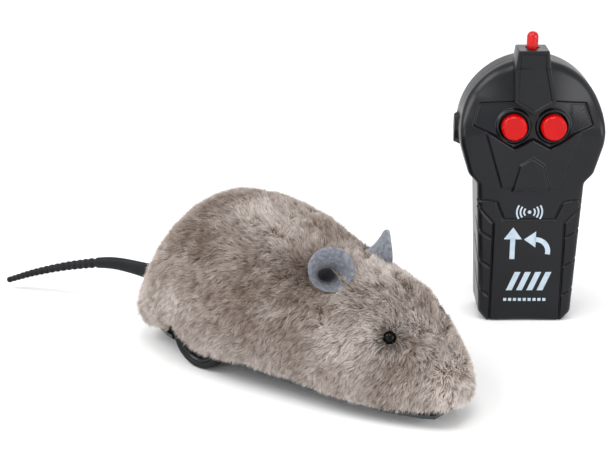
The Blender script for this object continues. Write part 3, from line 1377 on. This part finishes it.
def make_front_shell(plastic, control):
    face = rounded_edge(0, 1)
    shell = piece("control_front_shell", lofted(shell_rings(face + [(FRONT_DEPTH, 0)])), plastic, control)
    fuse(shell, prism(scaled(MUZZLE_SHARES), -MUZZLE_PROUD, CONTROL_WALL / 2))
    carve(shell, prism(scaled(VISOR_SHARES), -OVERRUN, VISOR_DEPTH))
    fuse(shell, prism(scaled(CREST_SHARES), -CREST_PROUD, CONTROL_WALL))
    fuse(shell, crest_block())
    fuse(shell, prism(scaled(NOSE_SHARES), -NOSE_PROUD, CONTROL_WALL / 2))
    carve(shell, mirrored_sides(grip_line))
    carve(shell, mirrored_sides(grip_grooves))
    carve(shell, brim_line())
    head_low = control_up(CONTROL_BOARD_LOW_SHARE)
    open_back = FRONT_DEPTH + OVERRUN
    head_room = [(x, z) for x, z in control_outline(CONTROL_WALL + GAP) if z > head_low]
    carve(shell, prism(head_room, WALL_BACK_Y, open_back))
    room = [(CONTROL_WALL, EDGE_ROUND), (EDGE_ROUND, CONTROL_WALL), (open_back, CONTROL_WALL)]
    carve(shell, lofted(shell_rings(room)))
    bosses = []
    for x, z in shell_screw_places():
        bosses.append(rod(SHELL_SCREW_BOSS_RADIUS, CONTROL_WALL / 2, FRONT_DEPTH - GAP, "Y", (x, z), 12))
    fuse(shell, gathered(bosses))
    bites = []
    for x, z in shell_screw_places():
        low = FRONT_DEPTH - SHELL_SCREW_BITE - GAP
        bites.append(rod(SHELL_SCREW_RADIUS + GAP, low, open_back, "Y", (x, z), 8))
    carve(shell, gathered(bites))
    holes = []
    hole_radius = BUTTON_RADIUS + RUNNING_GAP
    for place in button_places():
        holes.append(rod(hole_radius, -OVERRUN, WALL_BACK_Y + OVERRUN, "Y", place, BUTTON_STEPS))
    carve(shell, gathered(holes))
    lamp_top = LAMP_SEAT + LAMP_LENGTH
    carve(shell, rod(LAMP_RIM_RADIUS + GAP, LAMP_SEAT, lamp_top, "Z", (0, LAMP_DEPTH_Y), 16))
    leg_room = LEG_SPREAD / 2 + LEG_HALF_WIDTH + GAP
    leg_low = (-leg_room, LAMP_DEPTH_Y - LEG_HALF_WIDTH - GAP, control_up(HEAD_CENTRE_SHARE))
    carve(shell, box(leg_low, (leg_room, LAMP_DEPTH_Y + LEG_HALF_WIDTH + GAP, LAMP_SEAT + GAP)))


def make_rear_shell(plastic, control):
    low = FRONT_DEPTH + GAP
    back = list(reversed(rounded_edge(CONTROL_DEPTH, -1)))
    shell = piece("control_rear_shell", lofted(shell_rings([(low, 0)] + back)), plastic, control)
    boss_z = control_up(SIDE_BOSS_SHARE)
    boss_y = FRONT_DEPTH + (REAR_DEPTH - EDGE_ROUND) / 2 + GAP
    boss_half = (REAR_DEPTH - EDGE_ROUND) / 2

    def side_boss(side):
        reach = side * (CONTROL_HALF_WIDTH + SIDE_BOSS_PROUD)
        near = side * (CONTROL_HALF_WIDTH - CONTROL_WALL / 2)
        outline = [(boss_y + boss_half * a, boss_z + SIDE_BOSS_RADIUS * b) for a, b in disc_outline(1, 16)]
        return prism(outline, min(reach, near), max(reach, near), "X")

    fuse(shell, mirrored_sides(side_boss))
    inner_face = CONTROL_DEPTH - CONTROL_WALL
    round_start = CONTROL_DEPTH - EDGE_ROUND
    cavity = [(low - OVERRUN, CONTROL_WALL), (round_start, CONTROL_WALL), (inner_face, EDGE_ROUND)]
    carve(shell, lofted(shell_rings(cavity)))
    screw_posts = []
    post_top = CONTROL_DEPTH - CONTROL_WALL / 2
    for place in shell_screw_places():
        screw_posts.append(rod(SHELL_SCREW_BOSS_RADIUS, low, post_top, "Y", place, 12))
    fuse(shell, gathered(screw_posts))
    head_room, shank_room = [], []
    head_y = CONTROL_DEPTH - 2 * CONTROL_WALL
    for place in shell_screw_places():
        head_room.append(rod(SHELL_SCREW_HEAD_RADIUS + GAP, head_y, CONTROL_DEPTH + OVERRUN, "Y", place, 12))
        shank_room.append(rod(SHELL_SCREW_RADIUS + GAP, low - OVERRUN, CONTROL_DEPTH, "Y", place, 8))
    carve(shell, gathered(head_room))
    carve(shell, gathered(shank_room))
    half = BACK_DOOR_HALF_WIDTH + GAP
    door_high = BACK_DOOR_TOP + GAP
    recess_y = CONTROL_DEPTH - BACK_DOOR_PLATE - GAP
    carve(shell, box((-half, recess_y, -OVERRUN), (half, CONTROL_DEPTH + OVERRUN, door_high)))
    hatch_half = BACK_DOOR_HALF_WIDTH - BACK_DOOR_LIP
    hatch_low = BACK_DOOR_LOW + BACK_DOOR_LIP
    hatch_high = (hatch_half, CONTROL_DEPTH + OVERRUN, door_high - BACK_DOOR_LIP)
    carve(shell, box((-hatch_half, inner_face - OVERRUN, hatch_low), hatch_high))


def make_back_door(plastic, control):
    """A plate that slides down in the rear shell's recess."""
    half = BACK_DOOR_HALF_WIDTH
    top = BACK_DOOR_TOP
    low_y = CONTROL_DEPTH - BACK_DOOR_PLATE
    plate = box((-half, low_y, BACK_DOOR_LOW), (half, CONTROL_DEPTH, top))
    door = piece("control_battery_door", plate, plastic, control)
    ribs = []
    for i in range(THUMB_RIB_COUNT):
        z = top - THUMB_RIB_LENGTH / 2 - i * THUMB_RIB_PITCH
        rib_low = (-THUMB_RIB_LENGTH / 2, CONTROL_DEPTH - THUMB_RIB_PROUD, z)
        rib_high = (THUMB_RIB_LENGTH / 2, CONTROL_DEPTH + THUMB_RIB_PROUD, z + THUMB_RIB_WIDTH)
        ribs.append(box(rib_low, rib_high))
    fuse(door, gathered(ribs))


def make_buttons(red, control):
    for place, name in zip(button_places(), ("left", "right")):
        wide = BUTTON_RADIUS + BUTTON_FLANGE_REACH
        face = VISOR_DEPTH - BUTTON_PROUD
        profile = [
            (0, face),
            (BUTTON_RADIUS - BUTTON_CHAMFER, face),
            (BUTTON_RADIUS, face + BUTTON_CHAMFER),
            (BUTTON_RADIUS, FLANGE_Y),
            (wide, FLANGE_Y),
            (wide, FLANGE_Y + BUTTON_FLANGE),
            (0, FLANGE_Y + BUTTON_FLANGE),
        ]
        piece(f"button_{name}", turned(profile, BUTTON_STEPS), red, control, (place[0], 0, place[1]))


def make_lamp(red, control):
    base = LAMP_SEAT + GAP
    dome = LAMP_LENGTH - LAMP_RADIUS
    profile = [(0, 0), (LAMP_RIM_RADIUS, 0), (LAMP_RIM_RADIUS, LAMP_RIM), (LAMP_RADIUS, LAMP_RIM)]
    for i in range(4):
        angle = math.pi / 2 * i / 4
        profile.append((LAMP_RADIUS * math.cos(angle), dome + LAMP_RADIUS * math.sin(angle)))
    bulb = moved(turned(profile + [(0, LAMP_LENGTH)], 16, "Z"), (0, LAMP_DEPTH_Y, base))
    lamp = piece("signal_lamp", bulb, red, control)
    board_top = control_up(CONTROL_BOARD_HIGH_SHARE)
    legs = []
    for side in (-1, 1):
        x = side * LEG_SPREAD / 2
        low = (x - LEG_HALF_WIDTH, LAMP_DEPTH_Y - LEG_HALF_WIDTH, board_top + GAP)
        legs.append(box(low, (x + LEG_HALF_WIDTH, LAMP_DEPTH_Y + LEG_HALF_WIDTH, base + LAMP_RIM / 2)))
    fuse(lamp, gathered(legs))


def make_control_board(board_green, switch_black, control):
    low = control_up(CONTROL_BOARD_LOW_SHARE)
    high = control_up(CONTROL_BOARD_HIGH_SHARE)
    half = CONTROL_BOARD_WIDTH / 2
    back = CONTROL_BOARD_Y + CONTROL_BOARD_THICKNESS
    plate = box((-half, CONTROL_BOARD_Y, low), (half, back, high))
    board = piece("control_board", plate, board_green, control)
    chip_high = (CHIP_LENGTH / 2, back + CHIP_HEIGHT, low + 2 * CHIP_WIDTH)
    fuse(board, box((-CHIP_LENGTH / 2, back - GAP, low + CHIP_WIDTH), chip_high))
    notches = []
    for place in shell_screw_places():
        notches.append(rod(SHELL_SCREW_BOSS_RADIUS + GAP, 0, CONTROL_DEPTH, "Y", place, 12))
    carve(board, gathered(notches))
    for (x, z), name in zip(button_places(), ("left", "right")):
        near = CONTROL_BOARD_Y - GAP - SWITCH_CAN_DEPTH
        half_can = SWITCH_CAN / 2
        can = box((x - half_can, near, z - half_can), (x + half_can, CONTROL_BOARD_Y - GAP, z + half_can))
        switch = piece(f"push_switch_{name}", can, switch_black, control)
        fuse(switch, rod(PLUNGER_RADIUS, near - PLUNGER, near + PLUNGER, "Y", (x, z), 12))


def make_control_cells(wrap, brass, control):
    for side, name in ((-1, "left"), (1, "right")):
        shape = cell_shape(BIG_CELL_RADIUS, BIG_CELL_LENGTH, BIG_CELL_NUB_RADIUS, BIG_CELL_NUB, "Z", 14)
        if side > 0:
            points, faces = shape
            shape = [(x, y, BIG_CELL_LENGTH - z) for x, y, z in points], faces
        place = (side * BIG_CELL_SPREAD / 2, BIG_CELL_Y, CELL_FLOOR + BIG_CONTACT + GAP)
        piece(f"control_cell_{name}", moved(shape, place), wrap, control)
    half = BIG_CONTACT_HALF_WIDTH
    low_y = BIG_CELL_Y - BIG_CONTACT_DEPTH / 2
    high_y = low_y + BIG_CONTACT_DEPTH
    top = CELL_FLOOR + BIG_CONTACT + BIG_CELL_LENGTH + 2 * GAP
    for name, z in (("low", CELL_FLOOR), ("high", top)):
        plate = box((-half, low_y, z), (half, high_y, z + BIG_CONTACT))
        piece(f"control_contact_{name}", plate, brass, control)


def make_control_screws(steel, control):
    low = FRONT_DEPTH - SHELL_SCREW_BITE
    head_y = CONTROL_DEPTH - 2 * CONTROL_WALL + GAP
    for number, (x, z) in enumerate(shell_screw_places(), 1):
        profile = [
            (0, low),
            (SHELL_SCREW_RADIUS, low),
            (SHELL_SCREW_RADIUS, head_y),
            (SHELL_SCREW_HEAD_RADIUS, head_y),
            (SHELL_SCREW_HEAD_RADIUS, head_y + SCREW_HEAD),
            (0, head_y + SCREW_HEAD),
        ]
        piece(f"control_screw_{number}", moved(turned(profile, 10), (x, 0, z)), steel, control)


def main():
    clear_scene()
    fur = finish("taupe_fur", (0.42, 0.35, 0.30), 0.95)
    felt = finish("blue_grey_felt", (0.16, 0.17, 0.20), 0.95)
    bead = finish("black_bead", (0.01, 0.01, 0.012), 0.08)
    rubber = finish("black_rubber", (0.02, 0.021, 0.023), 0.55)
    plastic = finish("black_plastic", (0.028, 0.029, 0.032), 0.42)
    nylon = finish("white_nylon", (0.75, 0.75, 0.72), 0.45)
    steel = finish("steel", (0.62, 0.62, 0.64), 0.3, 1.0)
    brass = finish("brass", (0.78, 0.60, 0.28), 0.3, 1.0)
    wrap = finish("cell_wrap", (0.10, 0.22, 0.45), 0.35)
    board_green = finish("green_board", (0.03, 0.16, 0.07), 0.4)
    red = finish("red_button", (0.72, 0.02, 0.025), 0.25)
    lamp_red = finish("red_lamp", (0.75, 0.03, 0.03), 0.12)
    wire_red = finish("red_wire", (0.55, 0.03, 0.03), 0.4)

    mouse = anchor("mouse_frame", (MOUSE_REAR_X, MOUSE_REAR_Y, 0))
    make_coat(fur, mouse)
    make_hull(plastic, mouse)
    make_chassis(plastic, mouse)
    make_chassis_screws(steel, mouse)
    make_tail(rubber, mouse)
    make_face(felt, bead, mouse)
    make_axle_set(steel, nylon, plastic, rubber, mouse)
    make_bushes(brass, mouse)
    make_gearbox(nylon, steel, mouse)
    make_idler(nylon, mouse)
    make_motor(steel, nylon, brass, mouse)
    make_caster(nylon, steel, mouse)
    make_battery_door(plastic, steel, mouse)
    make_cells(wrap, brass, mouse)
    make_power_switch(plastic, nylon, mouse)
    make_receiver(board_green, plastic, wire_red, nylon, mouse)

    control = anchor("control_frame", (CONTROL_X, CONTROL_Y, 0), CONTROL_TURN)
    make_front_shell(plastic, control)
    make_rear_shell(plastic, control)
    make_back_door(plastic, control)
    make_buttons(red, control)
    make_lamp(lamp_red, control)
    make_control_board(board_green, plastic, control)
    make_control_cells(wrap, brass, control)
    make_control_screws(steel, control)


main()
